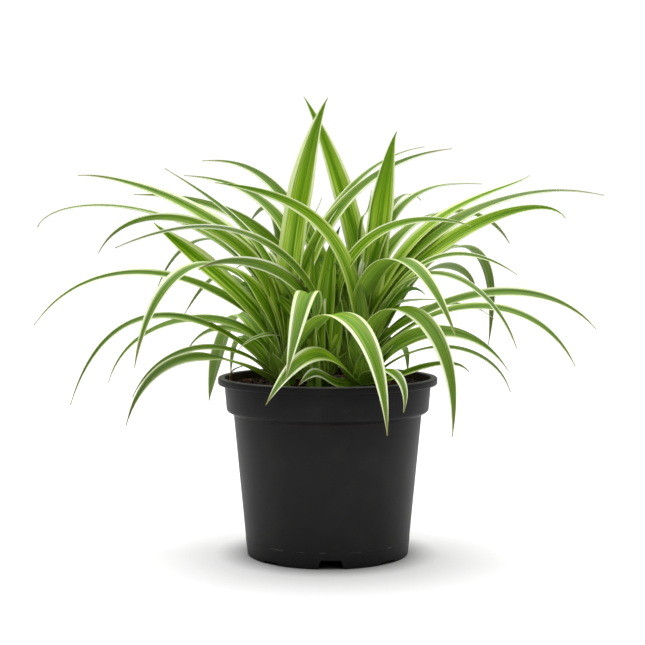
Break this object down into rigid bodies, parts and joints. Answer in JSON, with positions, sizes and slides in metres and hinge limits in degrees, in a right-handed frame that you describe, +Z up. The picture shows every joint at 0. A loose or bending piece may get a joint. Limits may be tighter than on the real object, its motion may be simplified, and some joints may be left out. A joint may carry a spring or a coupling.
{
  "type": "potted spider plant",
  "caption": "Bushy spider plant with arching striped strap leaves, growing from soil in a round tapered nursery pot.",
  "frame": {"origin": "centre of the ground area that the plant covers, on the pot's axis, at the height of the surface that the pot stands on", "axes": "+X to the right as the plant is seen from the front, the way its leaves reach furthest; +Y to the back; +Z up"},
  "size_m": [0.375, 0.2265, 0.3142],
  "materials": {
    "pot_plastic": "matt black moulded polypropylene with a faint sheen",
    "potting_soil": "rough dark peat mix with bits of bark and perlite",
    "leaf": "satin green blade with cream-white margins"
  },
  "bodies": {
    "root": {"pot": "pot_plastic", "soil": "potting_soil", "crown_left": "leaf", "crown_right": "leaf", "crown_front": "leaf", "crown_back_left": "leaf", "crown_back_right": "leaf"}
  },
  "joints": []
}
